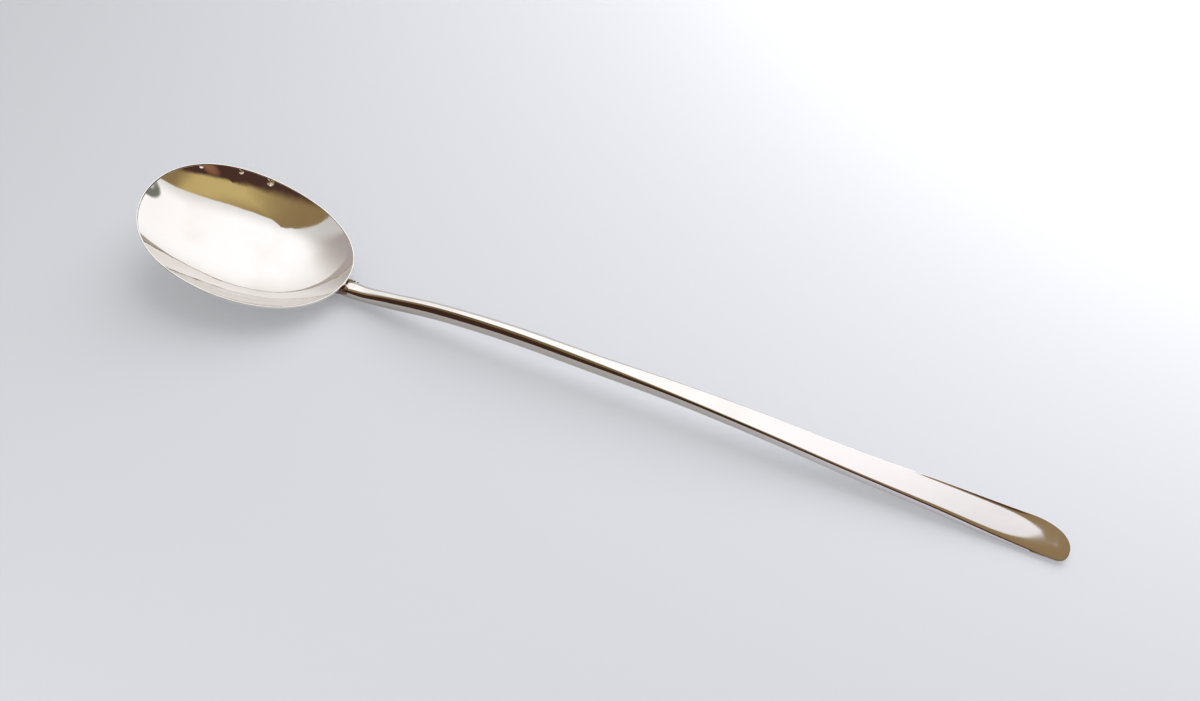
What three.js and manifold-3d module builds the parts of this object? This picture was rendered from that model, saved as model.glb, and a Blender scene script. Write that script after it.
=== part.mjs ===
// Jam spoon in silver, built as a silversmith builds one: a bowl raised from sheet, a stem forged from rod, and
// the bead of hard solder that joins them. Millimetres, +Z up. +X runs from the bowl's front lip to the end of
// the stem, and the origin lies on the table under the middle of the spoon's length.

import * as THREE from "three";
import { mergeVertices } from "three/addons/utils/BufferGeometryUtils.js";
import Module from "manifold-3d";

// Driving dimensions of the whole spoon and of the bowl

const LENGTH = 175; // front lip of the bowl to the end of the stem
const BOWL_LENGTH = 42.5; // over the rim, along the rim's plane
const BOWL_WIDTH = 28.5;
const BOWL_DEPTH = 6.75; // rim plane to the outside of the bottom, square to the rim plane
const BOWL_FLAT = 2.8; // power of the dish: 2 is a parabola, and more has a flatter bottom and steeper sides
const BOWL_TAPER = 0.04; // share by which the oval narrows towards the stem
const BOWL_SQUARE = 0.012; // share by which the hammered oval bulges at its four shoulders
const BOWL_SWAY = 0.012; // share by which it is uneven, in three lobes, as hand work is
const BOWL_FALL = 0.09; // share by which the bowl deepens towards the stem
const BOWL_PITCH = THREE.MathUtils.degToRad(12.4); // the front lip is the high end
const SHEET = 0.7; // thickness of the silver at the bottom
const RIM_LAND = 0.6; // width of the filed rim, seen from above
const RIM_CROWN = 0.15; // how far the rim's round top stands above its plane
const REST_WEAR = 0.1; // depth of the small flat that use has rubbed under the bowl

// The forged stem, station by station: distance from the front lip, height of the bar's middle over the table,
// width, depth, reach of the edges and the power of their curve, where 2 is round and less is a filed bevel.
// A tongue, its deep root, a neck of eight sides that stands on edge, the crest, then ever wider and thinner.

const STATIONS = [
  { at: 36.4, height: 0.95, width: 0.9, depth: 1.1, edge: 0.4, power: 2 },
  { at: 38.6, height: 1.5, width: 2.2, depth: 1.9, edge: 0.8, power: 2 },
  { at: 41.6, height: 2.1, width: 3, depth: 2.95, edge: 1.15, power: 1.9 },
  { at: 45.5, height: 2.38, width: 2.85, depth: 3, edge: 1.05, power: 1.5 },
  { at: 51, height: 3.12, width: 2.52, depth: 3.45, edge: 0.88, power: 1.25 },
  { at: 62, height: 5.08, width: 2.57, depth: 3.62, edge: 0.95, power: 1.22 },
  { at: 76, height: 6.14, width: 2.77, depth: 3.55, edge: 1.05, power: 1.46 },
  { at: 92, height: 5.9, width: 2.9, depth: 3.37, edge: 1.1, power: 1.83 },
  { at: 107, height: 5.83, width: 3.27, depth: 2.62, edge: 0.7, power: 2 },
  { at: 122, height: 4.9, width: 4.02, depth: 2.22, edge: 0.55, power: 2 },
  { at: 138, height: 3.2, width: 4.65, depth: 2.1, edge: 0.48, power: 2 },
  { at: 153, height: 2.03, width: 5.3, depth: 2.05, edge: 0.42, power: 2 },
  { at: 165, height: 0.96, width: 6, depth: 1.9, edge: 0.4, power: 2 },
  { at: LENGTH, height: 1.05, width: 6.3, depth: 1.4, edge: 0.4, power: 2 },
];
const TIP_SIDE = 1; // how far the end's tip lies to the -Y side of the middle
const FAR_NOSE = 6.6; // length over which the end rounds off from its tip to the +Y side, seen from above
const NEAR_NOSE = 1.8; // and to the -Y side, where the hammer left a fuller corner
const HOLLOW = 0.35; // depth of the finger hollow on top of the stem's end
const HOLLOW_START = 144; // from the front lip
const HOLLOW_FULL = 167;

// The solder: how far it spreads along the bowl from the tongue, how far it climbs the tongue from the bowl, and
// the capillary gap that it closes. Its concave face is built up in thin layers.

const SOLDER_SPREAD = 0.9;
const SOLDER_CLIMB = 2.6;
const SOLDER_LAYERS = [0.15, 0.3, 0.45, 0.6, 0.75, 0.9];
const SOLDER_END = 45; // where the solder runs out on the stem, from the front lip
const CAPILLARY_GAP = 0.06;

// Fineness of the facets

const BOWL_SEGMENTS = 64;
const BOWL_RINGS = 12;
const RIM_STEPS = 4;
const RINGS_PER_STATION = 4;
const TONGUE_SPANS = 3;
const NOSE_RINGS = 14;
const EDGE_STEPS = 5;
const TOP_STEPS = 6;

const wasm = await Module();
wasm.setup();

// A closed geometry as a solid that can be joined and cut.
function solid(geometry) {
  const bare = geometry.clone();
  bare.deleteAttribute("normal");
  bare.deleteAttribute("uv");
  const merged = mergeVertices(bare);
  const corners = merged.getIndex().array;
  const triVerts = [];
  for (let i = 0; i < corners.length; i += 3) {
    const [a, b, c] = corners.slice(i, i + 3);
    if (a !== b && b !== c && c !== a) triVerts.push(a, b, c);
  }
  return new wasm.Manifold(
    new wasm.Mesh({
      numProp: 3,
      vertProperties: merged.getAttribute("position").array,
      triVerts: new Uint32Array(triVerts),
    }),
  );
}

// A cut or joined solid as a geometry again.
function geometryOf(body) {
  const { vertProperties, triVerts } = body.getMesh();
  const geometry = new THREE.BufferGeometry();
  geometry.setAttribute("position", new THREE.BufferAttribute(vertProperties, 3));
  geometry.setIndex(new THREE.BufferAttribute(triVerts, 1));
  geometry.computeVertexNormals();
  return geometry;
}

// A point on an oval dish, in the rim's own plane: share runs from 0 at the bottom to 1 at the rim.
function dishPoint(share, turn, halfLength, halfWidth, depth) {
  const uneven = BOWL_SWAY * Math.sin(3 * turn) - BOWL_SQUARE * Math.cos(4 * turn);
  const reach = share * (1 + uneven * share * share);
  const along = share * Math.cos(turn);
  return new THREE.Vector3(
    halfLength * reach * Math.cos(turn),
    halfWidth * reach * Math.sin(turn) * (1 - BOWL_TAPER * along),
    -depth * (1 - share ** BOWL_FLAT) * (1 + BOWL_FALL * along),
  );
}

// A coin of radius 1 and thickness 1, the blank that a bowl is raised from: its underside becomes the outer skin,
// its edge the rim and its top the inner skin.
function coin() {
  const profile = [];
  for (let i = 0; i <= BOWL_RINGS; i++) profile.push(new THREE.Vector2(i / BOWL_RINGS, 0));
  for (let i = 1; i < RIM_STEPS; i++) profile.push(new THREE.Vector2(1, i / RIM_STEPS));
  for (let i = BOWL_RINGS; i >= 0; i--) profile.push(new THREE.Vector2(i / BOWL_RINGS, 1));
  return new THREE.LatheGeometry(profile, BOWL_SEGMENTS);
}

// Raises a coin: pointAt gives the place of each of its points from share of radius, turn and share of thickness.
function raise(pointAt) {
  const blank = coin();
  const places = blank.getAttribute("position");
  for (let i = 0; i < places.count; i++) {
    const share = Math.hypot(places.getX(i), places.getZ(i));
    const turn = Math.atan2(places.getX(i), places.getZ(i));
    places.setXYZ(i, ...pointAt(share, turn, places.getY(i)).toArray());
  }
  return blank.rotateY(BOWL_PITCH);
}

// The bowl's sheet: two dishes that meet in the rounded rim.
function bowlSheet() {
  return raise((share, turn, thickness) => {
    const land = RIM_LAND * thickness;
    const point = dishPoint(
      share,
      turn,
      BOWL_LENGTH / 2 - land,
      BOWL_WIDTH / 2 - land,
      BOWL_DEPTH - SHEET * thickness,
    );
    point.z += RIM_CROWN * Math.sin(Math.PI * thickness);
    return point;
  });
}

// The room that the bowl takes up, grown all round and closed by a lid above the rim.
function bowlRoom(grow) {
  return raise((share, turn, thickness) => {
    const point = dishPoint(
      share,
      turn,
      BOWL_LENGTH / 2 + grow,
      BOWL_WIDTH / 2 + grow,
      BOWL_DEPTH + grow,
    );
    if (thickness > 0) point.z = BOWL_DEPTH * thickness;
    return point;
  });
}

// Skins a row of rings, each a list of points in the same order, and closes both ends on a middle point.
function loft(rings, firstMiddle, lastMiddle) {
  const count = rings[0].length;
  const points = [...rings.flat(), firstMiddle, lastMiddle];
  const first = rings.length * count;
  const last = first + 1;
  const faces = [];
  for (let j = 0; j < count; j++) {
    const next = (j + 1) % count;
    faces.push(first, next, j);
    for (let i = 0; i + 1 < rings.length; i++) {
      const here = i * count;
      const beyond = here + count;
      faces.push(here + j, here + next, beyond + next);
      faces.push(here + j, beyond + next, beyond + j);
    }
    const end = (rings.length - 1) * count;
    faces.push(last, end + j, end + next);
  }
  return new THREE.BufferGeometry().setFromPoints(points).setIndex(faces);
}

// A quarter turn of an edge: round where its power is 2, and nearer to a flat bevel where it is less.
function edgePoints(side, level, edge, power, start) {
  const points = [];
  for (let i = 0; i <= EDGE_STEPS; i++) {
    const turn = start + (Math.PI / 2) * (i / EDGE_STEPS);
    const out = (way) => edge * Math.sign(way) * Math.abs(way) ** (2 / power);
    points.push(new THREE.Vector2(side + out(Math.cos(turn)), level + out(Math.sin(turn))));
  }
  return points;
}

// A bar section: a rectangle with round or bevelled edges, whose top may sink in the middle.
function barSection(width, depth, edge, power, hollow) {
  const x = width / 2 - edge;
  const y = depth / 2 - edge;
  const quarter = Math.PI / 2;
  const corner = (side, level, start) => edgePoints(side, level, edge, power, start);
  const top = new THREE.QuadraticBezierCurve(
    new THREE.Vector2(x, depth / 2),
    new THREE.Vector2(0, depth / 2 - 2 * hollow),
    new THREE.Vector2(-x, depth / 2),
  );
  return [
    ...corner(x, -y, -quarter),
    ...corner(x, y, 0),
    ...top.getPoints(TOP_STEPS).slice(1, -1),
    ...corner(-x, y, quarter),
    ...corner(-x, -y, 2 * quarter),
  ];
}

// Smooth curves through the stations, stepped alike: for the place, for width, depth and edge, and for the power
// of the edge.
const spine = new THREE.CatmullRomCurve3(
  STATIONS.map(({ at, height }) => new THREE.Vector3(at - LENGTH / 2, 0, height)),
  false,
  "catmullrom",
);
const girth = new THREE.CatmullRomCurve3(
  STATIONS.map(({ width, depth, edge }) => new THREE.Vector3(width, depth, edge)),
  false,
  "catmullrom",
);

const filing = new THREE.CatmullRomCurve3(
  STATIONS.map(({ power }) => new THREE.Vector3(power, 0, 0)),
  false,
  "catmullrom",
);

// The share of its reach that one side of the stem keeps where the end rounds off over a given length.
function noseShare(at, length) {
  const into = Math.max(0, 1 - (LENGTH - at) / length);
  return Math.sqrt(1 - into * into);
}

// The stem's outline at one step of its spine, square to it and grown all round.
function stemRing(step, grow = 0) {
  const middle = spine.getPoint(step);
  const along = spine.getTangent(step);
  const up = new THREE.Vector3(-along.z, 0, along.x);
  const [width, depth, edge] = girth.getPoint(step).toArray();
  const at = middle.x + LENGTH / 2;
  const far = (width / 2 + TIP_SIDE) * noseShare(at, FAR_NOSE);
  const near = (width / 2 - TIP_SIDE) * noseShare(at, NEAR_NOSE);
  const full = (far + near) / width;
  const section = barSection(
    far + near + 2 * grow,
    depth + 2 * grow,
    edge * full + grow,
    filing.getPoint(step).x,
    HOLLOW * THREE.MathUtils.smoothstep(at, HOLLOW_START, HOLLOW_FULL) * full,
  );
  middle.y += (far - near) / 2 - TIP_SIDE;
  return section.map((p) => new THREE.Vector3(0, p.x, 0).addScaledVector(up, p.y).add(middle));
}

// The forged bar: evenly stepped rings, drawn closer towards the round end.
function stemBar() {
  const spans = STATIONS.length - 1;
  const rings = [];
  for (let i = 0; i < (spans - 1) * RINGS_PER_STATION; i++) {
    rings.push(stemRing(i / RINGS_PER_STATION / spans));
  }
  for (let i = 0; i < NOSE_RINGS; i++) {
    const closer = Math.sin((Math.PI / 2) * (i / NOSE_RINGS));
    rings.push(stemRing((spans - 1 + closer) / spans));
  }
  const tip = spine.getPoint(1).setY(-TIP_SIDE);
  return loft(rings, spine.getPoint(0), tip);
}

// A sleeve round the tongue and the start of the neck, flaring from the stem's skin towards the bowl.
function tongueSleeve(flare) {
  const spans = STATIONS.length - 1;
  const rings = [stemRing(0, flare).map((p) => p.setX(p.x - flare))];
  for (let i = 0; i <= TONGUE_SPANS * RINGS_PER_STATION; i++) {
    const step = i / RINGS_PER_STATION / spans;
    const at = spine.getPoint(step).x + LENGTH / 2;
    const runOut = 1 - THREE.MathUtils.smoothstep(at, STATIONS[0].at, SOLDER_END);
    if (runOut > 0) rings.push(stemRing(step, CAPILLARY_GAP + flare * runOut));
  }
  const middle = (ring) => ring.reduce((sum, p) => sum.add(p), new THREE.Vector3()).divideScalar(ring.length);
  return loft(rings, middle(rings[0]), middle(rings.at(-1)));
}

// The bowl is set down so that its front lip ends the spoon and the flat under it lies on the table.
const sheet = bowlSheet();
sheet.computeBoundingBox();
const { min: lowest, max: highest } = sheet.boundingBox;
const setDown = new THREE.Vector3(-LENGTH / 2 - lowest.x, 0, -lowest.z - REST_WEAR);
const tableTop = new THREE.BoxGeometry(2 * LENGTH, LENGTH, highest.z);
tableTop.translate(0, 0, -highest.z / 2);
const besideBowl = (geometry) => solid(geometry.translate(...setDown.toArray()));
const bowl = besideBowl(sheet).subtract(solid(tableTop));

// The stem's end rests on the table, and its tongue is filed to the outside of the bowl.
const bar = stemBar();
bar.computeBoundingBox();
const drop = -bar.boundingBox.min.z;
const besideStem = (geometry) => solid(geometry.translate(0, 0, drop));
const filedBack = besideBowl(bowlRoom(CAPILLARY_GAP));
const stem = besideStem(bar).subtract(filedBack);

// The solder fills the corner between the tongue and the bowl, thin layer by thin layer.
const layers = SOLDER_LAYERS.map((share) => {
  const sleeve = besideStem(tongueSleeve(SOLDER_SPREAD * (1 - share)));
  return sleeve.intersect(besideBowl(bowlRoom(SOLDER_CLIMB * share)));
});
const solder = layers
  .reduce((bead, layer) => bead.add(layer))
  .subtract(filedBack)
  .subtract(besideStem(tongueSleeve(0)));

const silver = { color: 0xdcd9d6, roughness: 0.12, metalness: 1 };
const solderSilver = { color: 0xb5a48e, roughness: 0.3, metalness: 1 };

const spoon = new THREE.Group();
const pieces = [
  ["bowl", bowl, silver],
  ["stem", stem, silver],
  ["solder_joint", solder, solderSilver],
];
for (const [name, body, finish] of pieces) {
  const mesh = new THREE.Mesh(geometryOf(body), new THREE.MeshStandardMaterial(finish));
  mesh.name = name;
  spoon.add(mesh);
}

export default spoon;
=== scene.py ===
import math

import bmesh
import bpy
from bpy.props import FloatProperty, FloatVectorProperty, IntProperty, PointerProperty
from mathutils import Matrix, Vector
from mathutils.bvhtree import BVHTree


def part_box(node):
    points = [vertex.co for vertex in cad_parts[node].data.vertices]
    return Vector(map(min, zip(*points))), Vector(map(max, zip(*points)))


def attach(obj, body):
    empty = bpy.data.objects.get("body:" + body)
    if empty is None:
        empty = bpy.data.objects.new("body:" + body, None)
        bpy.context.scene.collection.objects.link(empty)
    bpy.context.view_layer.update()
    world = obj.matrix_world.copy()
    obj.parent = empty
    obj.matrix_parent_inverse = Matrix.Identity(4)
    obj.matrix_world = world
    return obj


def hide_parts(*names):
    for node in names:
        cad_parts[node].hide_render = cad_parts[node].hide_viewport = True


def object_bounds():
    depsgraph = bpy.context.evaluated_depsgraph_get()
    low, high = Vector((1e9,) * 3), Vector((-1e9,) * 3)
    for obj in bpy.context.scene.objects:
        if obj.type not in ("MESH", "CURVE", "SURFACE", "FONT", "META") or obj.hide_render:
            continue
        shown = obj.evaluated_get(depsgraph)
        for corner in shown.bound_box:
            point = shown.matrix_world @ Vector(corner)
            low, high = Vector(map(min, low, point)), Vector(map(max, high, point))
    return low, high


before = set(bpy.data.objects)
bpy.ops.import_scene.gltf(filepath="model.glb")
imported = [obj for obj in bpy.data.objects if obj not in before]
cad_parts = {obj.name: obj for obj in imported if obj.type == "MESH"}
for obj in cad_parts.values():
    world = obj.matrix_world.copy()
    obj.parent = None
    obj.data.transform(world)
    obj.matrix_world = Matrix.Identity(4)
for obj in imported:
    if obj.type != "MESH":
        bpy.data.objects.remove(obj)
CAD_LOW, CAD_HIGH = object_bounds()

bl_info = {
    "name": "Silver jam spoon",
    "version": (1, 0, 0),
    "blender": (4, 5, 0),
    "location": "3D View > Sidebar > Jam spoon",
    "description": "Makes a hand-raised silver jam spoon and the pale table that it lies on",
    "category": "Object",
}

MM = 0.001  # Blender works in metres
SENSOR = 36  # width of the camera's sensor, in millimetres


def linear(code):
    """An sRGB hex colour as linear red, green, blue and alpha."""
    channels = [int(code[i : i + 2], 16) / 255 for i in (1, 3, 5)]
    return (*[c / 12.92 if c <= 0.04045 else ((c + 0.055) / 1.055) ** 2.4 for c in channels], 1.0)


def size(name, description, millimetres):
    """A length that the user can change."""
    return FloatProperty(
        name=name, description=description, default=millimetres * MM, unit="LENGTH", precision=5
    )


def position(name, description, *millimetres):
    """A place that the user can change."""
    return FloatVectorProperty(
        name=name,
        description=description,
        default=[length * MM for length in millimetres],
        size=3,
        subtype="TRANSLATION",
        precision=5,
    )


def share(name, description, default):
    """A share of another size, or a finish between 0 and 1."""
    return FloatProperty(name=name, description=description, default=default, subtype="FACTOR")


def number(name, description, default, unit="NONE"):
    """A number that the user can change."""
    return FloatProperty(name=name, description=description, default=default, unit=unit)


def count(name, description, default):
    """A number of facets."""
    return IntProperty(name=name, description=description, default=default)


def turn(name, description, degrees):
    """An angle that the user can change."""
    return FloatProperty(
        name=name, description=description, default=math.radians(degrees), subtype="ANGLE"
    )


def colour(name, description, code):
    """A colour that the user can change."""
    return FloatVectorProperty(
        name=name, description=description, default=linear(code), size=4, subtype="COLOR", min=0, max=1
    )


# The forged stem, station by station, in millimetres: distance from the front lip, height of the bar's
# middle over the table, width, depth, reach of the edges and, as a bare number, the power of their curve,
# where 2 is round and less is a filed bevel

STATIONS = (
    (36.4, 0.95, 0.9, 1.1, 0.4, 2.0),
    (38.6, 1.5, 2.2, 1.9, 0.8, 2.0),
    (41.6, 1.9, 3.0, 2.95, 1.15, 1.9),
    (45.5, 2.1, 2.85, 3.0, 1.05, 1.5),
    (51.0, 3.02, 2.52, 3.45, 0.88, 1.25),
    (62.0, 5.08, 2.57, 3.62, 0.95, 1.22),
    (76.0, 6.14, 2.77, 3.55, 1.05, 1.46),
    (92.0, 5.9, 2.9, 3.37, 1.1, 1.83),
    (107.0, 5.83, 3.27, 2.62, 0.7, 2.0),
    (122.0, 4.9, 4.02, 2.22, 0.55, 2.0),
    (138.0, 3.2, 4.65, 2.1, 0.48, 2.0),
    (153.0, 2.03, 5.3, 2.05, 0.42, 2.0),
    (165.0, 0.96, 6.0, 1.9, 0.4, 2.0),
    (175.0, 1.05, 6.3, 1.4, 0.4, 2.0),
)

# Small knocks inside the bowl just under its rim, in millimetres: place and radius

NICKS = (
    ((-82.56, 9.53, 11.52), 0.5),
    ((-75.99, 12.36, 9.86), 0.55),
    ((-70.24, 13.12, 8.47), 0.8),
)
NICK_DEPTH = 0.42  # of a knock's radius

# Beads that ran out of the joint: share of the joint's length, and of the largest bead's radius

BEADS = ((0.72, 1.0), (0.81, 0.7), (0.9, 0.5))
BEAD_FORM = (1.25, 0.8, 0.9)  # drawn out along the spoon and slumped


class BowlSizes(bpy.types.PropertyGroup):
    """Sizes of the raised bowl."""

    length: size("Length", "Over the rim, along the rim's plane", 42.5)
    width: size("Width", "Over the rim", 28.5)
    depth: size("Depth", "Rim plane to the outside of the bottom", 6.75)
    flat: number("Flat", "Power of the dish: 2 is a parabola, more is flatter", 2.8)
    taper: share("Taper", "How much the oval narrows towards the stem", 0.04)
    square: share("Square", "How much the hammered oval bulges at its four shoulders", 0.012)
    sway: share("Sway", "How uneven the oval is, in three lobes", 0.012)
    fall: share("Fall", "How much the bowl deepens towards the stem", 0.09)
    pitch: turn("Pitch", "How far the front lip is tipped up", 12.4)
    sheet: size("Sheet", "Thickness of the silver at the bottom", 0.7)
    rim_land: size("Rim land", "Width of the filed rim, seen from above", 0.31)
    rim_crown: size("Rim crown", "How far the rim's top stands above its plane", 0.3)
    rim_edge: number("Rim edge", "Power of its inner corner: more is squarer", 10)
    rim_round: number("Rim round", "Power of its outer corner", 3)
    rim_stand: size("Rim stand", "How much further the rim stands up than on the solid", 0.15)
    segments: count("Segments", "Facets round the bowl", 176)
    rings: count("Rings", "Facets from the bottom to the rim", 48)
    rim_steps: count("Rim steps", "Facets across the rim", 24)


class StemSizes(bpy.types.PropertyGroup):
    """Sizes of the forged stem's end, and how fine its facets are."""

    tip_side: size("Tip side", "How far the tip lies to the -Y side of the middle", 1)
    far_nose: size("Far nose", "Length over which the end rounds off from its tip to the +Y side", 6.6)
    near_nose: size("Near nose", "Length over which it rounds off to the -Y side", 1.8)
    hollow: size("Hollow", "Depth of the finger hollow on top of the end", 0.45)
    hollow_start: size("Hollow start", "Where the hollow begins, from the front lip", 140)
    hollow_full: size("Hollow full", "Where the hollow has its full depth, from the front lip", 172.2)
    wall_start: size("Wall start", "Width of the hollow's sloping wall where it begins", 0.3)
    wall_end: size("Wall end", "Width of that wall at the end", 5.5)
    lip: size("Lip", "Width of the lip that is left round the hollow", 0.08)
    near_bevel: size("Near bevel", "How much wider the -Y edge is rounded along the hollow", 0.5)
    near_roll: size("Near roll", "How much wider still it is rounded at the end", 7)
    near_drop: size("Near drop", "How much deeper the -Y edge is rounded at the end", 0.35)
    far_sharp: share("Far sharp", "How much sharper the +Y edge is at the end", 0.75)
    gather: number("Gather", "How late wall and roll widen towards the end", 12)
    segments: count("Segments", "Facets round the stem", 80)
    rings: count("Rings", "Facets along the stem", 240)


class SolderSizes(bpy.types.PropertyGroup):
    """Sizes of the solder."""

    spread: size("Spread", "How far the solder spreads along the bowl from the tongue", 1.9)
    climb: size("Climb", "How far it climbs the stem from the bowl", 1.9)
    top: share("Top", "Share of that spread that is left on top, where the solder was filed off", 0)
    under: size("Under", "How far under the stem's skin the solder ends", 0.05)
    end: size("End", "Where the solder ends on the stem, from the front lip", 44.5)
    bead: size("Bead", "Radius of the largest of the beads that ran out on the +Y side", 0.24)
    bead_in: size("Bead in", "How far the beads lie in from the joint's +Y side", 0.3)
    bead_down: size("Bead down", "How far the beads lie below the joint's top", 1.1)
    sink: size("Sink", "How far tongue and solder are let into the bowl's skin", 0.1)
    rings: count("Rings", "Facets along the solder", 60)


class Finishes(bpy.types.PropertyGroup):
    """Colours of the metal and sizes of its marks."""

    silver: colour("Silver", "Freshly rubbed silver", "#ECEAE8")
    tarnish: colour("Tarnish", "The faint warm film where rubbing misses", "#DAD3CC")
    # Painted shade: a darker tint on steep faces, most on the stem's sides, standing in for the shaded
    # table that they reflect
    side_painted_shade: colour("Side painted shade", "The duller film low on the stem's sides", "#C6BFB6")
    # Painted shade: a grey-brown tint that darkens the brown band reflected along the shoulder of the
    # stem's -Y bevel
    bevel_painted_shade: colour("Bevel painted shade", "Grey-brown film along the shoulder of the stem's -Y bevel", "#8E8983")
    end_film: colour("End film", "The thin film on the handled end", "#E8E4E5")
    solder: colour("Solder", "Hard solder", "#8E795E")
    fire_stain: colour("Fire stain", "The purple-brown stain that soldering leaves", "#6E504B")
    bright: share("Bright", "Roughness of the silver where it is rubbed most", 0.02)
    dull: share("Dull", "Roughness of the silver where rubbing misses", 0.07)
    wear: share("Wear", "How much rougher the tip of the handled end is worn", 0.14)
    solder_dull: share("Solder dull", "Roughness of the solder", 0.38)
    smudge: size("Smudge", "Width of the patches that rubbing misses", 9)
    ripple: size("Ripple", "From one hammer blow to the next", 7)
    ripple_depth: size("Ripple depth", "Depth of the hammer blows", 0.03)
    dimple: size("Dimple", "Width of the small dimples between them", 1.8)
    dimple_depth: size("Dimple depth", "Depth of the small dimples", 0.008)
    scratch: size("Scratch", "Length of the fine scratches across the spoon", 2.4)
    scratch_slim: number("Scratch slim", "How many times longer than wide they are", 9)
    scratch_depth: size("Scratch depth", "Depth of the fine scratches", 0.0012)
    lump: size("Lump", "Width of the lumps in the solder", 1.2)
    lump_depth: size("Lump depth", "Depth between the lumps", 0.1)


class StageSizes(bpy.types.PropertyGroup):
    """The table, the light and the camera."""

    azimuth: turn("Camera azimuth", "0 looks along +Y", 22.165)
    elevation: turn("Camera elevation", "Above the table", 56.081)
    roll: turn("Camera roll", "Of the camera about its own axis", 0.445)
    distance: size("Camera distance", "From the aim to the lens", 175.117)
    aim: position("Aim", "Point of the table that the camera looks at", 2.731, 6.621, 0)
    lens: number("Lens", "Focal length of the camera", 28.5, "CAMERA")
    table: colour("Table", "Pale, nearly neutral table top", "#C4C4C5")
    table_span: size("Table span", "Radius of the table", 2500)
    haze_start: size("Haze start", "How far off the table begins to run into the background", 190)
    haze_full: size("Haze full", "How far off it has run into the background", 500)
    haze: share("Haze", "Strength of the glow that it has there", 0.7)
    sky: colour("Sky", "Soft white light from all round", "#F5F4F5")
    # The colours from here to over_grey are painted reflections on the dome and the cards, which only the
    # silver shows
    sky_left: colour("Sky, left", "The same light, dimmer towards the left", "#E2DFDC")
    sky_right: colour("Sky, right", "The same light, a trace warmer high on the right", "#F5F3F3")
    room_lit: colour("Room, lit", "Golden-brown sheet in front, in its middle", "#D2BA7B")
    room_dim: colour("Room, dim", "The same sheet towards its sides", "#967E56")
    room_dark: colour("Room, dark", "Dark room below that sheet", "#4E362E")
    room_red: colour("Room, red", "Reddish patch in that dark part", "#96684F")
    room_span: size("Room span", "Radius of the dome that the room is painted on", 2000)
    room_height: size("Room height", "Of the golden-brown sheet over the table", 145)
    room_corner: position("Room corner", "Left end of the room's wall, nearest to the spoon", -101, -33, 0)
    left_grey: colour("Left grey", "Dim warm grey low down on the left", "#B6ACA9")
    back_dusk: colour("Back dusk", "Dusky grey-brown low down behind", "#BAB0A6")
    right_green: colour("Right green", "Dull grey-green patch on the right", "#7E8276")
    over_grey: colour("Over grey", "Pale grey overhead, beside the golden-brown sheet", "#E2E3E0")
    sky_strength: number("Sky strength", "Of the white that the silver shows", 1.35)
    soft_strength: number("Soft strength", "Of the light from all round", 0.53)
    window_power: number("Window power", "Of the low lamp behind", 5.6, "POWER")
    window_place: position("Window place", "Of the low lamp behind", 156, 269, 60)
    high_power: number("High power", "Of the higher lamp behind", 1.4, "POWER")
    high_place: position("High place", "Of the higher lamp behind", 60, 260, 300)
    high_span: size("High span", "Side of the higher lamp's square", 450)
    fill_power: number("Fill power", "Of the lamp in front", 1.28, "POWER")
    fill_place: position("Fill place", "Of the lamp in front", -83, -250, 150)
    daylight: colour("Daylight", "Cool light of the lamps", "#F6F9FF")


class SpoonSettings(bpy.types.PropertyGroup):
    """All that a user can change."""

    bowl: PointerProperty(type=BowlSizes)
    stem: PointerProperty(type=StemSizes)
    solder: PointerProperty(type=SolderSizes)
    finish: PointerProperty(type=Finishes)
    stage: PointerProperty(type=StageSizes)


# Helpers for meshes and nodes


def piece_from(bm, name, material):
    """Turns a bmesh into a smooth, finished object of the scene."""
    mesh = bpy.data.meshes.new(name)
    bm.to_mesh(mesh)
    bm.free()
    mesh.shade_smooth()
    mesh.materials.append(material)
    piece = bpy.data.objects.new(name, mesh)
    bpy.context.scene.collection.objects.link(piece)
    return piece


def add(tree, kind, links=None, **settings):
    """Adds a node with its settings. Links gives each input a value or another node's output."""
    node = tree.nodes.new(kind)
    for key, value in settings.items():
        setattr(node, key, value)
    for key, value in (links or {}).items():
        if isinstance(value, bpy.types.NodeSocket):
            tree.links.new(value, node.inputs[key])
        else:
            node.inputs[key].default_value = value
    return node


def new_material(name):
    """An empty material and its node tree."""
    material = bpy.data.materials.new(name)
    material.use_nodes = True
    material.node_tree.nodes.clear()
    return material, material.node_tree


def both(tree, *masks):
    """Where all the masks are 1: their product."""
    product = masks[0]
    for mask in masks[1:]:
        product = add(tree, "ShaderNodeMath", {0: product, 1: mask}, operation="MULTIPLY").outputs[0]
    return product


def paint(tree, base, *coats):
    """Lays coats over a base, one after another. Each is a colour and a mask that is 1 where it covers."""
    for coat, mask in coats:
        links = {"Factor": mask, "A": base, "B": coat}
        base = add(tree, "ShaderNodeMix", links, data_type="RGBA").outputs[2]
    return base


# The bowl


def dish_point(bowl, part, angle, half_length, half_width, depth):
    """A point on an oval dish in the rim's own plane: part runs from 0 at the bottom to 1 at the rim."""
    uneven = bowl.sway * math.sin(3 * angle) - bowl.square * math.cos(4 * angle)
    reach = part * (1 + uneven * part * part)
    along = part * math.cos(angle)
    return Vector(
        (
            half_length * reach * math.cos(angle),
            half_width * reach * math.sin(angle) * (1 - bowl.taper * along),
            -depth * (1 - part**bowl.flat) * (1 + bowl.fall * along),
        )
    )


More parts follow.
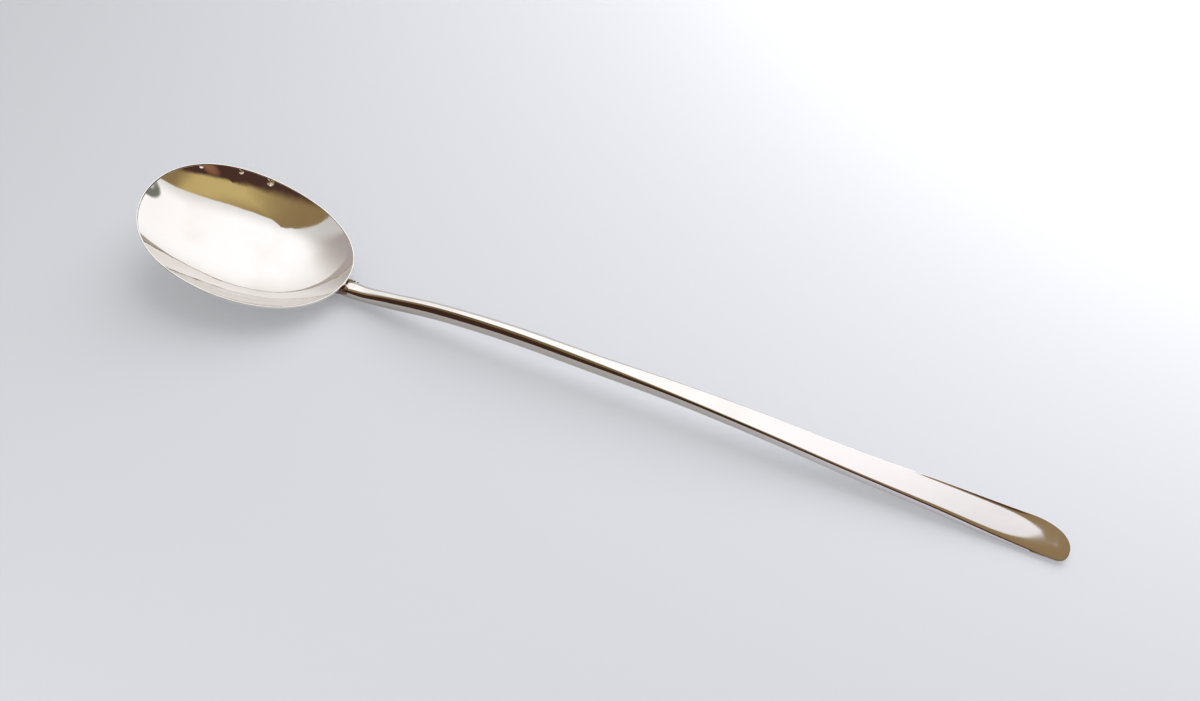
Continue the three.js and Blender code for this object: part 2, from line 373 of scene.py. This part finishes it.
def raise_bowl(bowl):
    """Spins a coin from its half section, raises it into a dish, and sets it down where the solid is."""
    bm = bmesh.new()
    closer = [math.sin(math.pi / 2 * i / bowl.rings) for i in range(bowl.rings + 1)]
    outside = [(part, 0.0) for part in closer]
    edge = [(1.0, i / bowl.rim_steps) for i in range(1, bowl.rim_steps)]
    inside = [(part, 1.0) for part in reversed(closer)]
    half = [bm.verts.new((part, 0, thickness)) for part, thickness in outside + edge + inside]
    lines = [bm.edges.new(pair) for pair in zip(half, half[1:])]
    bmesh.ops.spin(
        bm,
        geom=half + lines,
        axis=(0, 0, 1),
        cent=(0, 0, 0),
        angle=math.tau,
        steps=bowl.segments,
        use_merge=True,
    )
    same_point = 1e-5  # of the coin's radius
    bmesh.ops.remove_doubles(bm, verts=bm.verts, dist=same_point)
    bmesh.ops.recalc_face_normals(bm, faces=bm.faces)
    for v in bm.verts:
        part, angle, thickness = v.co.xy.length, math.atan2(v.co.y, v.co.x), v.co.z
        land = bowl.rim_land * thickness
        v.co = dish_point(
            bowl,
            part,
            angle,
            bowl.length / 2 - land,
            bowl.width / 2 - land,
            bowl.depth - bowl.sheet * thickness,
        )
        corner = bowl.rim_edge if thickness > 0.5 else bowl.rim_round
        v.co.z += bowl.rim_crown * (1 - abs(2 * thickness - 1) ** corner)
    bmesh.ops.rotate(bm, verts=bm.verts, cent=(0, 0, 0), matrix=Matrix.Rotation(bowl.pitch, 3, "Y"))
    low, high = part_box("bowl")
    front = min(v.co.x for v in bm.verts)
    top = max(v.co.z for v in bm.verts)
    bmesh.ops.translate(bm, verts=bm.verts, vec=(low.x - front, 0, high.z - top + bowl.rim_stand))
    cut = bmesh.ops.bisect_plane(
        bm,
        geom=bm.verts[:] + bm.edges[:] + bm.faces[:],
        plane_co=(0, 0, 0),
        plane_no=(0, 0, 1),
        clear_inner=True,
    )
    rubbed = [e for e in cut["geom_cut"] if isinstance(e, bmesh.types.BMEdge)]
    bmesh.ops.holes_fill(bm, edges=rubbed)
    return bm


class JAMSPOON_OT_bowl(bpy.types.Operator):
    """Raise the bowl"""

    bl_idname = "jamspoon.bowl"
    bl_label = "Raise the bowl"

    def execute(self, context):
        settings = context.scene.jam_spoon
        bm = raise_bowl(settings.bowl)
        silver = polished_silver(settings.finish, "polished_silver", nicks=NICKS, side_shade_share=0.2)
        piece = piece_from(bm, "raised_bowl", silver)
        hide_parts("bowl")
        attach(piece, "root")
        return {"FINISHED"}


# The stem


def at_station(step):
    """A smooth curve through the stations, with its lengths in metres."""
    last = len(STATIONS) - 1
    i = min(int(step * last), last - 1)
    t = step * last - i
    p1, p2 = Vector(STATIONS[i]), Vector(STATIONS[i + 1])
    p0 = Vector(STATIONS[i - 1]) if i else 2 * p1 - p2
    p3 = Vector(STATIONS[i + 2]) if i + 2 <= last else 2 * p2 - p1
    bend = (p2 - p0) * t + (2 * p0 - 5 * p1 + 4 * p2 - p3) * t**2 + (3 * p1 - 3 * p2 + p3 - p0) * t**3
    *sizes, power = p1 + bend / 2
    return *(millimetres * MM for millimetres in sizes), power


def side_width(into, nose, reach):
    """How wide one side still is, so far into its rounded nose."""
    return reach * math.sqrt(max(0.0, 1 - max(0.0, into / nose) ** 2))


def side_distance(into, aside, nose, reach):
    """How far a point is from one side's outline.

    Into is its way into the nose, and aside its way from the tip's line.
    """
    if into <= 0:
        return max(0.0, reach - aside)
    if aside <= 0:
        return max(0.0, nose - into) - aside
    ring = math.hypot(into / nose, aside / reach)
    return max(0.0, math.hypot(into, aside) * (1 / ring - 1))


def rounding(inside, reach, depth, power):
    """How far an edge that is rounded over a reach and a depth has dropped, so far inside the outline."""
    corner = max(0.0, 1 - inside / reach)
    return depth * (1 - max(0.0, 1 - corner**power) ** (1 / power))


def stem_point(stem, step, angle, grow=0.0):
    """A point on the stem's skin, or as far outside it as grow says.

    Step runs along the stem from 0 to 1, and angle round it from its +Y side over its top.
    """
    stride, level_sine = 1e-4, 1e-6
    at, height, width, depth, edge, power = at_station(step)
    ahead = at_station(min(step + stride, 1))
    behind = at_station(max(step - stride, 0))
    along = Vector((ahead[0] - behind[0], 0, ahead[1] - behind[1])).normalized()
    upward = Vector((-along.z, 0, along.x))
    length = STATIONS[-1][0] * MM
    far_reach, near_reach = width / 2 + stem.tip_side, width / 2 - stem.tip_side
    far_into, near_into = at - length + stem.far_nose, at - length + stem.near_nose
    far = side_width(far_into, stem.far_nose, far_reach)
    near = side_width(near_into, stem.near_nose, near_reach)
    aside = (far - near) / 2 + (far + near) / 2 * math.cos(angle)
    from_far = side_distance(far_into, aside, stem.far_nose, far_reach)
    from_near = side_distance(near_into, -aside, stem.near_nose, near_reach)
    ease = min(1.0, max(0.0, (at - stem.hollow_start) / (stem.hollow_full - stem.hollow_start)))
    late = ease**stem.gather
    if math.sin(angle) > level_sine:
        sharp = edge * (1 - stem.far_sharp * ease)
        roll = edge + stem.near_bevel * ease + stem.near_roll * late
        drop = edge + stem.near_drop * late
        dip = max(rounding(from_far, sharp, sharp, power), rounding(from_near, roll, drop, power))
        wall = stem.wall_start + (stem.wall_end - stem.wall_start) * late
        down = min(1.0, max(0.0, (from_far - stem.lip) / wall))
        level = depth / 2 - dip - stem.hollow * ease * (1 - (1 - down) ** 2)
    elif math.sin(angle) < -level_sine:
        level = rounding(min(from_far, from_near), edge, edge, power) - depth / 2
    else:
        level = 0
    out = Vector((0, math.cos(angle), 0)) + upward * math.sin(angle)
    middle = Vector((at + CAD_LOW.x, aside - stem.tip_side, height))
    return middle + upward * level + out * grow


def rod_blank(segments, rings):
    """A plain rod of radius 1 along Z from 0 to 1, with rings of edges along it."""
    bm = bmesh.new()
    bmesh.ops.create_cone(bm, cap_ends=True, segments=segments, radius1=1, radius2=1, depth=1)
    bmesh.ops.translate(bm, verts=bm.verts, vec=(0, 0, 0.5))
    lengthwise = [e for e in bm.edges if abs(e.verts[0].co.z - e.verts[1].co.z) > 0.5]
    bmesh.ops.subdivide_edges(bm, edges=lengthwise, cuts=rings - 1, use_grid_fill=True)
    return bm


def bowl_skin():
    """The bowl's solid as a search tree, to seat the tongue and the solder on."""
    bm = bmesh.new()
    bm.from_mesh(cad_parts["bowl"].data)
    tree = BVHTree.FromBMesh(bm)
    bm.free()
    return tree


def seat(point, skin, sink):
    """Lowers a point that would stand inside the bowl to just under the bowl's outer skin."""
    well_below = CAD_LOW.z - 10 * MM
    hit, *_ = skin.ray_cast(Vector((point.x, point.y, well_below)), Vector((0, 0, 1)))
    if hit and point.z > hit.z + sink:
        point.z = hit.z + sink
    return point


def forge_stem(stem, sink):
    """Forges a rod into the stem: its rings draw closer towards the round end."""
    bm = rod_blank(stem.segments, stem.rings)
    skin = bowl_skin()
    last = 1 - 0.5 / stem.rings  # just short of the tip, where the outline closes
    for v in bm.verts:
        step = 1 - (1 - v.co.z * last) ** 2
        v.co = seat(stem_point(stem, step, math.atan2(v.co.y, v.co.x)), skin, sink)
    bmesh.ops.recalc_face_normals(bm, faces=bm.faces)
    return bm


class JAMSPOON_OT_stem(bpy.types.Operator):
    """Forge the stem"""

    bl_idname = "jamspoon.stem"
    bl_label = "Forge the stem"

    def execute(self, context):
        settings = context.scene.jam_spoon
        bm = forge_stem(settings.stem, settings.solder.sink)
        silver = polished_silver(settings.finish, "forged_silver", nicks=(), side_shade_share=1.0)
        piece = piece_from(bm, "forged_stem", silver)
        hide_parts("stem")
        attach(piece, "root")
        return {"FINISHED"}


# The solder


def flow_solder(stem, solder):
    """Grows the stem's skin into a hollow fillet that runs out on the bowl, with beads beside it."""
    bm = rod_blank(stem.segments, solder.rings)
    skin = bowl_skin()
    low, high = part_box("solder_joint")
    tries = 1000
    end_step = next(i / tries for i in range(tries) if at_station(i / tries)[0] >= solder.end)
    for v in bm.verts:
        angle = math.atan2(v.co.y, v.co.x)
        step = v.co.z * end_step
        bare = stem_point(stem, step, angle)
        distance = skin.find_nearest(bare)[3]
        near = max(0.0, 1 - distance / solder.climb)
        left = 1 - (1 - solder.top) * max(0.0, math.sin(angle))
        grow = solder.spread * left * near**2 - solder.under
        v.co = seat(stem_point(stem, step, angle, grow), skin, solder.sink)
        v.co.z = max(v.co.z, low.z)
    for along, radius in BEADS:
        middle = (low.x + along * (high.x - low.x), high.y - solder.bead_in, high.z - solder.bead_down)
        bead = Matrix.Translation(middle) @ Matrix.Diagonal((*BEAD_FORM, 1))
        bmesh.ops.create_icosphere(bm, subdivisions=3, radius=solder.bead * radius, matrix=bead)
    bmesh.ops.recalc_face_normals(bm, faces=bm.faces)
    return bm


class JAMSPOON_OT_solder(bpy.types.Operator):
    """Flow the solder"""

    bl_idname = "jamspoon.solder"
    bl_label = "Flow the solder"

    def execute(self, context):
        settings = context.scene.jam_spoon
        bm = flow_solder(settings.stem, settings.solder)
        piece = piece_from(bm, "solder_bead", hard_solder(settings.finish))
        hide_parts("solder_joint")
        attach(piece, "root")
        return {"FINISHED"}


# Finishes


def polished_silver(finish, name, nicks, side_shade_share):
    """Sterling silver, planished and polished.

    A near mirror, with faint hammer ripples that bend what it shows and thin films where it isn't rubbed.
    Its steep faces and the stem's -Y bevel are darkened with painted shade.
    """
    material, tree = new_material(name)
    place = add(tree, "ShaderNodeTexCoord").outputs["Object"]
    along = add(tree, "ShaderNodeSeparateXYZ", {0: place}).outputs["X"]
    normal = add(tree, "ShaderNodeNewGeometry").outputs["Normal"]
    facing = add(tree, "ShaderNodeSeparateXYZ", {0: normal})
    level = add(tree, "ShaderNodeMath", {0: facing.outputs["Z"]}, operation="ABSOLUTE").outputs[0]
    patches = {"Vector": place, "Scale": 1 / finish.smudge, "Detail": 3.0}
    rubbed = add(tree, "ShaderNodeTexNoise", patches).outputs["Fac"]

    # Masks that grow from 0 at their first value to their most at the second
    masks = {}
    for mask, value, first, second, most in (
        ("smudged", rubbed, 0.5, 0.85, 0.6),
        # Where the painted shade on steep faces goes
        ("steep", level, 0.985, 0.7, side_shade_share),
        ("off_the_top", level, 0.97, 0.94, 1.0),
        ("over_the_side", level, 0.76, 0.82, 1.0),
        ("near_side", facing.outputs["Y"], 0.0, -0.1, 1.0),
        ("past_the_joint", along, -40 * MM, -22 * MM, 1.0),
        ("before_the_end", along, 75 * MM, 35 * MM, 1.0),
        ("handled", along, 20 * MM, 70 * MM, 1.0),
        ("worn", along, 66 * MM, 82 * MM, finish.wear),
    ):
        links = {"Value": value, "From Min": first, "From Max": second, "To Max": most}
        masks[mask] = add(tree, "ShaderNodeMapRange", links).outputs["Result"]
    # Where the painted shade along the -Y bevel goes
    bevel = ("off_the_top", "over_the_side", "near_side", "past_the_joint", "before_the_end")
    tint = paint(
        tree,
        finish.silver,
        (finish.tarnish, masks["smudged"]),
        # Painted shade on steep faces
        (finish.side_painted_shade, both(tree, masks["steep"], masks["before_the_end"])),
        # Painted shade along the -Y bevel
        (finish.bevel_painted_shade, both(tree, *(masks[mask] for mask in bevel))),
        (finish.end_film, masks["handled"]),
    )
    gloss = add(
        tree,
        "ShaderNodeMapRange",
        {"Value": rubbed, "From Min": 0.3, "From Max": 0.8, "To Min": finish.bright, "To Max": finish.dull},
    ).outputs["Result"]
    rough = add(tree, "ShaderNodeMath", {0: gloss, 1: masks["worn"]}, operation="ADD").outputs[0]

    # Hammer ripples, dimples and scratches, which are drawn coarser than real ones so that they show
    slim = (finish.scratch_slim, 1, 1)
    across = add(tree, "ShaderNodeVectorMath", {0: place, 1: slim}, operation="MULTIPLY").outputs[0]
    marks = []
    for pattern, span, depth, detail, uneven in (
        (place, finish.ripple, finish.ripple_depth, 1.0, 0.4),
        (place, finish.dimple, finish.dimple_depth, 0.0, 0.5),
        (across, finish.scratch, finish.scratch_depth, 2.0, 0.5),
    ):
        links = {"Vector": pattern, "Scale": 1 / span, "Detail": detail, "Roughness": uneven}
        marks.append((add(tree, "ShaderNodeTexNoise", links).outputs["Fac"], depth))
    for middle, radius in nicks:
        away = add(tree, "ShaderNodeVectorMath", {0: place, 1: Vector(middle) * MM}, operation="DISTANCE")
        links = {"Value": away.outputs["Value"], "From Max": radius * MM}
        marks.append((add(tree, "ShaderNodeMapRange", links).outputs["Result"], NICK_DEPTH * radius * MM))
    skin = {}
    for mark, depth in marks:
        bump = add(tree, "ShaderNodeBump", {"Height": mark, "Distance": depth, **skin})
        skin = {"Normal": bump.outputs["Normal"]}
    links = {"Base Color": tint, "Metallic": 1.0, "Roughness": rough, **skin}
    metal = add(tree, "ShaderNodeBsdfPrincipled", links)
    add(tree, "ShaderNodeOutputMaterial", {"Surface": metal.outputs["BSDF"]})
    return material


def hard_solder(finish):
    """Hard silver solder, flowed by a flame.

    Yellower and duller than the silver, uneven from flowing, and stained where the flame touched it.
    """
    material, tree = new_material("hard_solder")
    place = add(tree, "ShaderNodeTexCoord").outputs["Object"]
    links = {"Vector": place, "Scale": 1 / finish.lump, "Detail": 3.0}
    lumps = add(tree, "ShaderNodeTexNoise", links).outputs["Fac"]
    stain = add(tree, "ShaderNodeMapRange", {"Value": lumps, "From Min": 0.42, "From Max": 0.62})
    bump = add(tree, "ShaderNodeBump", {"Height": lumps, "Distance": finish.lump_depth})
    metal = add(
        tree,
        "ShaderNodeBsdfPrincipled",
        {
            "Base Color": paint(tree, finish.solder, (finish.fire_stain, stain.outputs["Result"])),
            "Metallic": 1.0,
            "Roughness": finish.solder_dull,
            "Normal": bump.outputs["Normal"],
        },
    )
    add(tree, "ShaderNodeOutputMaterial", {"Surface": metal.outputs["BSDF"]})
    return material


# The stage


def lay_table(stage):
    """A wide, plain pale table that runs into the pale background far off."""
    material, tree = new_material("pale_table")
    matt = add(tree, "ShaderNodeBsdfDiffuse", {"Color": stage.table}).outputs["BSDF"]
    place = add(tree, "ShaderNodeTexCoord").outputs["Object"]
    away = add(tree, "ShaderNodeVectorMath", {0: place}, operation="LENGTH").outputs["Value"]
    haze = add(
        tree,
        "ShaderNodeMapRange",
        {"Value": away, "From Min": stage.haze_start, "From Max": stage.haze_full, "To Max": stage.haze},
    ).outputs["Result"]
    glow = add(tree, "ShaderNodeEmission", {"Color": stage.sky, "Strength": haze}).outputs[0]
    top = add(tree, "ShaderNodeAddShader", {0: matt, 1: glow}).outputs[0]
    add(tree, "ShaderNodeOutputMaterial", {"Surface": top})
    bm = bmesh.new()
    bmesh.ops.create_circle(bm, cap_ends=True, segments=64, radius=stage.table_span)
    piece_from(bm, "table", material)


def half_space(tree, way, aim, soft):
    """1 where a direction lies on the side that aim points to, 0 on the other, with a soft edge."""
    links = {0: way, 1: Vector(aim).normalized()}
    side = add(tree, "ShaderNodeVectorMath", links, operation="DOT_PRODUCT")
    mask = add(
        tree,
        "ShaderNodeMapRange",
        {"Value": side.outputs["Value"], "From Min": -soft, "From Max": soft},
        interpolation_type="SMOOTHSTEP",
    )
    return mask.outputs["Result"]


def beyond(tree, point, corner, aim, soft):
    """As half_space, for a place and a plane through a corner."""
    moved = add(tree, "ShaderNodeVectorMath", {0: point, 1: corner}, operation="SUBTRACT").outputs[0]
    return half_space(tree, moved, aim, soft)


def spot(tree, way, azimuth, elevation, radius, core):
    """1 inside the core of a round patch of the sky, given in degrees, and less out to its radius."""
    a, e = math.radians(azimuth), math.radians(elevation)
    aim = Vector((math.cos(a) * math.cos(e), math.sin(a) * math.cos(e), math.sin(e)))
    near = add(tree, "ShaderNodeVectorMath", {0: way, 1: aim}, operation="DOT_PRODUCT")
    mask = add(
        tree,
        "ShaderNodeMapRange",
        {
            "Value": near.outputs["Value"],
            "From Min": math.cos(math.radians(radius)),
            "From Max": math.cos(math.radians(core * radius)),
        },
        interpolation_type="SMOOTHSTEP",
    )
    return mask.outputs["Result"]


def ragged_place(tree, grain, reach):
    """Object coordinates, and the same shaken by noise so that edges come out ragged."""
    place = add(tree, "ShaderNodeTexCoord").outputs["Object"]
    links = {"Vector": place, "Scale": 1 / grain, "Detail": 1.0}
    noise = add(tree, "ShaderNodeTexNoise", links).outputs["Color"]
    links = {0: noise, 1: (0.5, 0.5, 0.5)}
    centred = add(tree, "ShaderNodeVectorMath", links, operation="SUBTRACT").outputs[0]
    shake = add(tree, "ShaderNodeVectorMath", {0: centred, "Scale": reach}, operation="SCALE").outputs[0]
    return place, add(tree, "ShaderNodeVectorMath", {0: place, 1: shake}, operation="ADD").outputs[0]


def light_stage(stage):
    """Soft white light from all round and three lamps.

    The wide high lamp behind throws the shadows. The low one behind and the one in front throw none.
    """
    world = bpy.data.worlds.new("soft_white")
    world.use_nodes = True
    tree = world.node_tree
    tree.nodes.clear()
    path = add(tree, "ShaderNodeLightPath").outputs["Is Camera Ray"]
    soft = (*(channel * stage.soft_strength for channel in stage.sky[:3]), 1.0)
    light = add(tree, "ShaderNodeBackground", {"Color": paint(tree, soft, (stage.sky, path))})
    add(tree, "ShaderNodeOutputWorld", {"Surface": light.outputs["Background"]})
    bpy.context.scene.world = world

    for name, kind, place, power in (
        ("window", "POINT", stage.window_place, stage.window_power),
        ("high_window", "AREA", stage.high_place, stage.high_power),
        ("fill", "POINT", stage.fill_place, stage.fill_power),
    ):
        lamp = bpy.data.lights.new(name, kind)
        lamp.energy = power
        lamp.color = stage.daylight[:3]
        lamp.use_shadow = kind == "AREA"
        if kind == "AREA":
            lamp.size = stage.high_span
        holder = bpy.data.objects.new(name, lamp)
        holder.location = place
        holder.rotation_euler = (-holder.location).to_track_quat("-Z", "Y").to_euler()
        holder.visible_camera = False
        holder.visible_glossy = False
        bpy.context.scene.collection.objects.link(holder)


def hang_card(bm, name, material, tree, tint, mask):
    """Hangs a glowing card of painted reflection, which shows only in the silver and keeps no light off it.
    """
    glow = add(tree, "ShaderNodeEmission", {"Color": tint, "Strength": 1.0}).outputs[0]
    clear = add(tree, "ShaderNodeBsdfTransparent").outputs[0]
    sheet = add(tree, "ShaderNodeMixShader", {0: mask, 1: clear, 2: glow}).outputs[0]
    add(tree, "ShaderNodeOutputMaterial", {"Surface": sheet})
    card = piece_from(bm, name, material)
    card.visible_camera = False
    card.visible_diffuse = False
    card.visible_transmission = False
    card.visible_shadow = False


def hang_dome(stage):
    """What the silver shows far off: white sky, greyer on the left, and a dark brown room in front."""
    material, tree = new_material("room_dome")
    place = add(tree, "ShaderNodeTexCoord").outputs["Object"]
    way = add(tree, "ShaderNodeVectorMath", {0: place}, operation="NORMALIZE").outputs[0]
    left = half_space(tree, way, aim=(-0.78, 0, -0.625), soft=0.35)
    low_behind = half_space(tree, way, aim=(-0.377, 0.114, -0.919), soft=0.015)
    room = both(
        tree,
        half_space(tree, way, aim=(0.361, -0.891, -0.274), soft=0.012),
        half_space(tree, way, aim=(0.719, -0.695, 0), soft=0.05),
    )
    white = paint(
        tree,
        stage.sky,
        (stage.sky_left, left),
        (stage.sky_right, spot(tree, way, azimuth=45, elevation=55, radius=40, core=0.3)),
    )
    links = {0: white, "Scale": stage.sky_strength}
    bright = add(tree, "ShaderNodeVectorMath", links, operation="SCALE").outputs["Vector"]
    seen = paint(
        tree,
        bright,
        (stage.back_dusk, low_behind),
        (stage.left_grey, spot(tree, way, azimuth=-155, elevation=5, radius=60, core=0.25)),
        (stage.right_green, spot(tree, way, azimuth=30, elevation=29, radius=11, core=0.75)),
        (stage.over_grey, spot(tree, way, azimuth=29, elevation=30.5, radius=4.5, core=0.1)),
        (stage.room_dark, room),
        (stage.room_red, spot(tree, way, azimuth=-60, elevation=40, radius=9, core=0.1)),
    )
    bm = bmesh.new()
    bmesh.ops.create_icosphere(bm, subdivisions=5, radius=stage.room_span)
    hang_card(bm, "room_dome", material, tree, seen, 1.0)


def hang_sheet(stage):
    """The golden-brown sheet over the camera's shoulder, with a pale grey fringe along its back edge."""
    material, tree = new_material("brown_sheet")
    place, loose = ragged_place(tree, grain=34 * MM, reach=14 * MM)
    half_side, fringe = 400 * MM, 0.75
    from_back, from_left = (0.452, -0.892, 0), (0.719, -0.695, 0)
    inner = beyond(tree, loose, corner=(0, -85 * MM, 0), aim=(-0.85, 1, 0), soft=8 * MM)
    right = beyond(tree, loose, corner=(60 * MM, 0, 0), aim=(1, 0, 0), soft=15 * MM)
    reach = add(tree, "ShaderNodeMath", {0: inner, 1: right}, operation="MAXIMUM").outputs[0]
    body = both(
        tree,
        beyond(tree, place, corner=(0, 0, 0), aim=from_back, soft=2.5 * MM),
        beyond(tree, place, corner=(-66 * MM, 0, 0), aim=from_left, soft=8 * MM),
    )
    lit = both(
        tree,
        beyond(tree, loose, corner=(-42 * MM, -23 * MM, 0), aim=from_left, soft=33 * MM),
        beyond(tree, loose, corner=(34 * MM, 0, 0), aim=(-1, 0, 0), soft=24 * MM),
    )
    front = beyond(tree, loose, corner=(0, -75 * MM, 0), aim=(0, -1, 0), soft=45 * MM)
    gold = paint(
        tree,
        stage.room_dim,
        (stage.room_lit, lit),
        (stage.room_dark, both(tree, right, front)),
    )
    halo = both(tree, beyond(tree, place, corner=(0, 22 * MM, 0), aim=from_back, soft=26 * MM), fringe)
    shape = add(tree, "ShaderNodeMath", {0: body, 1: halo}, operation="MAXIMUM").outputs[0]
    tint = paint(tree, stage.over_grey, (gold, body))
    bm = bmesh.new()
    bmesh.ops.create_grid(bm, x_segments=1, y_segments=1, size=half_side)
    bmesh.ops.translate(bm, verts=bm.verts, vec=(0, 0, stage.room_height))
    hang_card(bm, "sheet_card", material, tree, tint, both(tree, shape, reach))


def hang_wall(stage):
    """The room's wall in front on the left: dark below a slanting edge, golden-brown above it."""
    material, tree = new_material("brown_wall")
    place, loose = ragged_place(tree, grain=30 * MM, reach=5 * MM)
    length, lit_from, top_end = 185 * MM, 36 * MM, 140 * MM
    edge_height, edge_slope, end_slope = 19 * MM, 1.28, 0.9
    corner = Vector(stage.room_corner)
    along = Vector((0.584, -0.812, 0))
    upright = Vector((0, 0, 1))
    lit = beyond(tree, loose, corner=corner + lit_from * along, aim=along, soft=33 * MM)
    over_edge = beyond(
        tree,
        loose,
        corner=corner + edge_height * upright,
        aim=upright - edge_slope * along,
        soft=4 * MM,
    )
    gold = paint(tree, stage.room_dim, (stage.room_lit, lit))
    tint = paint(tree, stage.room_dark, (gold, over_edge))
    mask = both(
        tree,
        beyond(tree, place, corner=corner, aim=along, soft=1.5 * MM),
        beyond(
            tree,
            loose,
            corner=corner + top_end * along + stage.room_height * upright,
            aim=-along - end_slope * upright,
            soft=7 * MM,
        ),
    )
    bm = bmesh.new()
    bmesh.ops.create_grid(bm, x_segments=1, y_segments=1, size=0.5)
    bmesh.ops.rotate(bm, verts=bm.verts, matrix=Matrix.Rotation(math.pi / 2, 3, "X"))
    bmesh.ops.translate(bm, verts=bm.verts, vec=(0.5, 0, 0.5))
    bmesh.ops.scale(bm, verts=bm.verts, vec=(length, 1, stage.room_height))
    heading = Matrix.Rotation(math.atan2(along.y, along.x), 3, "Z")
    bmesh.ops.rotate(bm, verts=bm.verts, matrix=heading)
    bmesh.ops.translate(bm, verts=bm.verts, vec=corner)
    hang_card(bm, "wall_card", material, tree, tint, mask)


def set_camera(stage):
    """The camera at the photograph's viewing angle."""
    data = bpy.data.cameras.new("camera")
    data.lens = stage.lens
    data.sensor_width = SENSOR
    data.clip_start = 1 * MM
    camera = bpy.data.objects.new("camera", data)
    flat = math.cos(stage.elevation)
    back = Vector(
        (math.sin(stage.azimuth) * flat, -math.cos(stage.azimuth) * flat, math.sin(stage.elevation))
    )
    camera.location = Vector(stage.aim) + back * stage.distance
    level = (-back).to_track_quat("-Z", "Y").to_matrix()
    camera.rotation_euler = (level @ Matrix.Rotation(stage.roll, 3, "Z")).to_euler()
    bpy.context.scene.collection.objects.link(camera)
    bpy.context.scene.camera = camera


class JAMSPOON_OT_stage(bpy.types.Operator):
    """Set the table, the light and the camera"""

    bl_idname = "jamspoon.stage"
    bl_label = "Set the stage"

    def execute(self, context):
        stage = context.scene.jam_spoon.stage
        lay_table(stage)
        light_stage(stage)
        hang_dome(stage)
        hang_sheet(stage)
        hang_wall(stage)
        set_camera(stage)
        context.scene.view_settings.view_transform = "Standard"
        return {"FINISHED"}


class JAMSPOON_PT_sidebar(bpy.types.Panel):
    """The spoon's steps in the sidebar"""

    bl_idname = "JAMSPOON_PT_sidebar"
    bl_label = "Jam spoon"
    bl_space_type = "VIEW_3D"
    bl_region_type = "UI"
    bl_category = "Jam spoon"

    def draw(self, context):
        for step in STEPS:
            self.layout.operator(step.bl_idname)


STEPS = (JAMSPOON_OT_bowl, JAMSPOON_OT_stem, JAMSPOON_OT_solder, JAMSPOON_OT_stage)
GROUPS = (BowlSizes, StemSizes, SolderSizes, Finishes, StageSizes, SpoonSettings)


def register():
    for kind in (*GROUPS, *STEPS, JAMSPOON_PT_sidebar):
        bpy.utils.register_class(kind)
    bpy.types.Scene.jam_spoon = PointerProperty(type=SpoonSettings)


def unregister():
    del bpy.types.Scene.jam_spoon
    for kind in reversed((*GROUPS, *STEPS, JAMSPOON_PT_sidebar)):
        bpy.utils.unregister_class(kind)


def main():
    """Makes the spoon step by step."""
    register()
    bpy.ops.jamspoon.bowl()
    bpy.ops.jamspoon.stem()
    bpy.ops.jamspoon.solder()
    bpy.ops.jamspoon.stage()


if __name__ == "__main__":
    main()
